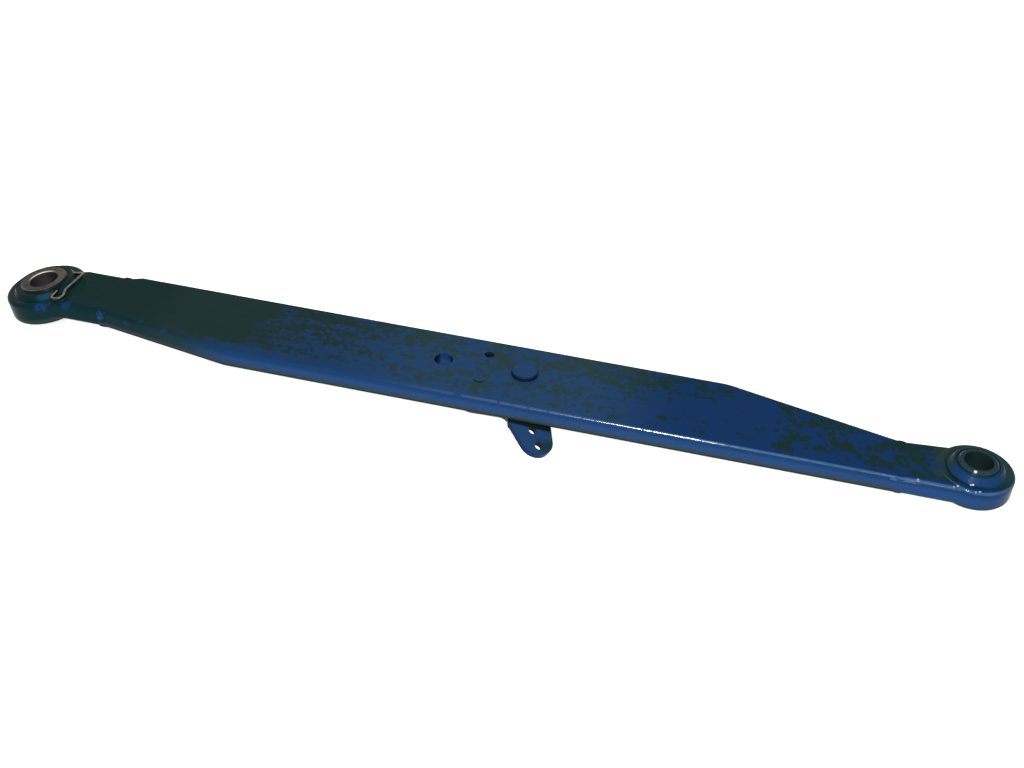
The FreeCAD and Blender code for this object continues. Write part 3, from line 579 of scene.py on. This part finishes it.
# Places of faint blue spots on the bar and clear ones on the rear eye, in metres, and their sizes.
FAINT_SPOTS = [
    (-0.7907, -0.0114, 0.0095, 0.0035),
    (-0.8066, -0.0123, 0.0040, 0.0040),
    (-0.7640, -0.0178, 0.0094, 0.0045),
]
BLUE_SPOTS = [
    (-0.8977, -0.0107, 0.0024, 0.0075),
    (-0.8719, -0.0065, 0.0080, 0.0060),
]


# %% Paint that belongs to the rear end
def rear_eye_places(finish, base):
    """Blue shines through the teal in a few small spots on the near side. The lighter patch on the
    boss is painted in place of a reflection, and painted shade makes the boss's top round the ball
    nearly black."""
    ragged = finish.between(finish.noise(200.0, 3.0, 0.6), 0.25, 0.60)
    base = finish.mix(spots(finish, BLUE_SPOTS) * ragged * 0.95, base, (0.0060, 0.0330, 0.1200))
    boss_glow = spots(finish, [(-0.8986, 0.0014, 0.0103, 0.0110)])
    base = finish.mix(boss_glow * 0.55, base, (0.0100, 0.0600, 0.1050))
    local = finish.stretched((1, 1, 1), finish.stretched(
        (1, 1, 1), moved=tuple(-ball_centre)), turned=(0, CRANK, 0))
    x, y, z = finish.axes(local)
    # Painted shade: the top of the boss round the ball is nearly black.
    top = finish.between(z, 0.0145, 0.0152) * finish.between((x * x + y * y) ** 0.5, 0.030, 0.028)
    return finish.mix(top * 0.8, base, (0.0015, 0.0080, 0.0080))


ball_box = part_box("rear_ball")
ball_centre = (ball_box[0] + ball_box[1]) / 2

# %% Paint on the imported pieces
paints = {
    "bar": gloss_paint("bar_paint", extra=bar_places),
    "front_eye": gloss_paint("front_eye_paint", coarse=1.8, foot=0.0125, shine=0.9,
                             extra=front_eye_places),
    "rear_eye": gloss_paint("rear_eye_paint", coarse=1.8, foot=0.0130, shine=0.0,
                            extra=rear_eye_places),
    "front_weld": gloss_paint("front_weld_paint", coarse=2.2, foot=0.0105),
    "rear_weld": gloss_paint("rear_weld_paint", coarse=2.2, shine=0.0),
    "front_ball": gloss_paint("front_ball_paint", film=0.0, coarse=0.8, foot=0.03,
                              extra=front_ball_places),
    "bracket": gloss_paint("bracket_paint", film=0.6, coarse=1.2, foot=0.05, shine=0.0,
                           extra=bracket_places),
    "bracket_rivet": gloss_paint("rivet_paint", film=0.6, coarse=1.2, foot=0.05, shine=0.0,
                                 extra=head_places),
    "bracket_peg": gloss_paint("peg_paint", film=0.8, coarse=1.2, foot=0.05, shine=0.0,
                               extra=peg_places),
}
for node, paint in paints.items():
    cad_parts[node].data.materials.clear()
    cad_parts[node].data.materials.append(paint)
print("painted:", sorted(paints))

# %% [markdown]
# ## Weld beads and beads of paint
# Where the welder ran over the bar's edges, the bead stands a little proud and is rippled like a row
# of coins. It could be carved into the weld's own solid, but it is small trim, so it is a piece of
# its own: a circle is extruded along the seam, wide and narrow in turn, its ends are closed, and a
# Subdivision Surface makes the ripples round. Thick paint also gathers at the corners of the front
# boss; there a small circle is spun once round the eye.


# %% A rippled bead
def rippled_bead(name, start, end, radius, ripples, paint):
    """A row of ripples between two points, as thick as twice the radius."""
    start, end = Vector(start), Vector(end)
    step = (end - start) / (ripples * 2)
    turned = step.to_track_quat("Z", "Y").to_matrix().to_4x4()
    shape = bmesh.new()
    width = 0.35
    bmesh.ops.create_circle(shape, segments=10, radius=radius * width,
                            matrix=Matrix.Translation(start) @ turned)
    rim = list(shape.edges)
    bmesh.ops.contextual_create(shape, geom=rim)
    for ring in range(1, ripples * 2 + 1):
        grown = bmesh.ops.extrude_edge_only(shape, edges=rim)["geom"]
        corners = [part for part in grown if isinstance(part, bmesh.types.BMVert)]
        rim = [part for part in grown if isinstance(part, bmesh.types.BMEdge)
               and all(corner in corners for corner in part.verts)]
        wider = 0.35 if ring == ripples * 2 else (1.0 if ring % 2 else 0.84)
        bmesh.ops.translate(shape, verts=corners, vec=step)
        bmesh.ops.scale(shape, verts=corners, vec=Vector((1, 1, 1)) * (wider / width),
                        space=Matrix.Translation(-(start + step * ring)))
        width = wider
    bmesh.ops.contextual_create(shape, geom=rim)
    return as_piece(name, shape, paint)


def as_piece(name, shape, paint):
    """Turns a finished bmesh into a smooth piece that rides on the arm."""
    bmesh.ops.recalc_face_normals(shape, faces=shape.faces)
    for face in shape.faces:
        face.smooth = True
    mesh = bpy.data.meshes.new(name)
    shape.to_mesh(mesh)
    shape.free()
    piece = bpy.data.objects.new(name, mesh)
    bpy.context.scene.collection.objects.link(piece)
    mesh.materials.append(paint)
    smooth = piece.modifiers.new("round", "SUBSURF")
    smooth.levels = smooth.render_levels = 2
    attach(piece, "arm")
    return piece


# %% The beads of the two welds
bead_blue = gloss_paint("bead_paint", film=0.0, teal=0.0, coarse=1.6, foot=0.05, shine=1.0)
bead_teal = paints["rear_weld"]
front_near = rippled_bead("front_weld_near_bead", (-0.0760, -0.0308, 0.0050),
                          (-0.0430, -0.0292, 0.0050), 0.0032, 8, bead_blue)
front_far = rippled_bead("front_weld_far_bead", (-0.0660, 0.0197, 0.0078),
                         (-0.0660, 0.0197, -0.0078), 0.0033, 4, paints["front_weld"])
rear_near = rippled_bead("rear_weld_near_bead", (-0.8360, -0.0046, 0.0090),
                         (-0.8348, -0.0082, 0.0000), 0.0050, 2, bead_blue)
rear_far = rippled_bead("rear_weld_far_bead", (-0.8340, 0.0535, 0.0078),
                        (-0.8340, 0.0535, -0.0078), 0.0034, 4, bead_teal)
print("weld beads:", [len(piece.data.polygons) for piece in (front_near, front_far,
                                                             rear_near, rear_far)])


# %% Beads of paint round the front boss
def paint_bead(name, radius, height, thickness, paint):
    """A thin ring of paint round the front eye's axis, spun from a circle."""
    shape = bmesh.new()
    bmesh.ops.create_circle(shape, segments=8, radius=thickness,
                            matrix=Matrix.Translation((radius, 0, height))
                            @ Matrix.Rotation(math.pi / 2, 4, "X"))
    bmesh.ops.spin(shape, geom=list(shape.verts) + list(shape.edges), cent=(0, 0, 0),
                   axis=(0, 0, 1), dvec=(0, 0, 0), angle=math.tau, steps=48, use_merge=True,
                   use_duplicate=False)
    bmesh.ops.remove_doubles(shape, verts=shape.verts, dist=0.00001)
    return as_piece(name, shape, paint)


boss_lip = paint_bead("front_boss_lip", 0.0215, 0.0160, 0.0008, paints["front_eye"])
boss_foot = paint_bead("front_boss_foot", 0.0264, 0.0104, 0.0008, paints["front_eye"])
print("paint beads:", len(boss_lip.data.polygons), len(boss_foot.data.polygons))

# %% [markdown]
# ## Bare steel
# The rear ball was turned, so its flat face shows fine rings round the bore and a brown oxide bloom,
# and the paint only reaches its round zone. The clip is drawn wire, darkened by oxide, with a painted
# highlight on its upper side. The light arc at the bore's mouth and a faint light line on its rim are
# painted in place of reflections.

# %% The rear ball
def turned_steel(name, flat, bore_radius):
    """Turned steel on the flats and in the bore, dark paint on the round zone, and painted
    reflections at the bore's mouth and rim.
    """
    finish = Finish(name)
    centred = finish.stretched((1, 1, 1), moved=tuple(-ball_centre))
    local = finish.stretched((1, 1, 1), centred, turned=(0, CRANK, 0))
    x, y, z = finish.axes(local)
    out = (x * x + y * y) ** 0.5
    height = finish.maths("ABSOLUTE", z)
    on_flat = finish.between(height, flat - 0.0003, flat - 0.0001)
    in_bore = finish.between(out, bore_radius + 0.0012, bore_radius + 0.0007)
    bare = finish.most(on_flat, in_bore)
    rings = finish.noise(1.0, 3.0, 0.7, 0.0, finish.node(
        "ShaderNodeCombineXYZ", {}, {"X": out * 2600, "Y": z * 2600, "Z": 0.0}))
    bloom = finish.between(finish.noise(150.0, 4.0, 0.6), 0.36, 0.64)
    steel = finish.mix(bloom, (0.010, 0.010, 0.007), (0.042, 0.036, 0.024))
    right = finish.between((x * 0.95 + y * 0.25) / out, 0.40, 0.95)
    steel = finish.mix(right * 0.5, steel, (0.100, 0.085, 0.062))
    steel = finish.mix(in_bore, steel, (0.070, 0.070, 0.077))
    far_left = finish.between((y * 0.75 - x * 0.65) / out, 0.35, 0.90)
    near_left = finish.between((y * -0.85 - x * 0.50) / out, 0.30, 0.90)
    mouth = (finish.between(out, bore_radius + 0.0017, bore_radius + 0.0009)
             * finish.between(out, bore_radius, bore_radius + 0.0003))
    lip = finish.between(out, 0.0213, 0.0221)
    # Painted reflections: a light arc at the bore's mouth on the far left, and a faint light line on
    # the rim's near left.
    painted_reflection = finish.most(mouth * far_left, lip * near_left * 0.15)
    steel = finish.mix(painted_reflection, steel, (0.55, 0.50, 0.42))
    base = finish.mix(bare, DARK, steel)
    rough = 0.22 + bare * 0.16 + rings * 0.10
    return finish.gloss(
        Base_Color=base, Roughness=rough, Metallic=bare * 0.9, Specular_IOR_Level=0.05,
        Normal=finish.bump(rings * bare, 0.00003))


steel_ball = turned_steel("rear_ball_steel", 0.0175, 0.01435)
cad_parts["rear_ball"].data.materials.clear()
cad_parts["rear_ball"].data.materials.append(steel_ball)

# %% The clip's wire
wire = Finish("clip_wire_steel")
drawn = wire.noise(1.0, 3.0, 0.6, 0.0, wire.stretched((900, 250, 900)))
tarnish = wire.between(wire.noise(160.0, 3.0, 0.6), 0.42, 0.70)
# Painted highlight: the wire's upward-facing side is lighter, less so where it is tarnished.
upper_highlight = wire.between(wire.facing()[2], 0.55, 0.85) * (1 - tarnish * 0.6)
wire_steel = wire.gloss(
    Base_Color=wire.mix(upper_highlight, (0.026, 0.024, 0.019), (0.190, 0.165, 0.130)),
    Roughness=0.14 + drawn * 0.10 + tarnish * 0.12, Metallic=1.0,
    Normal=wire.bump(drawn, 0.00003))
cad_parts["ball_clip"].data.materials.clear()
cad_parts["ball_clip"].data.materials.append(wire_steel)
print("bare steel on rear_ball and ball_clip")
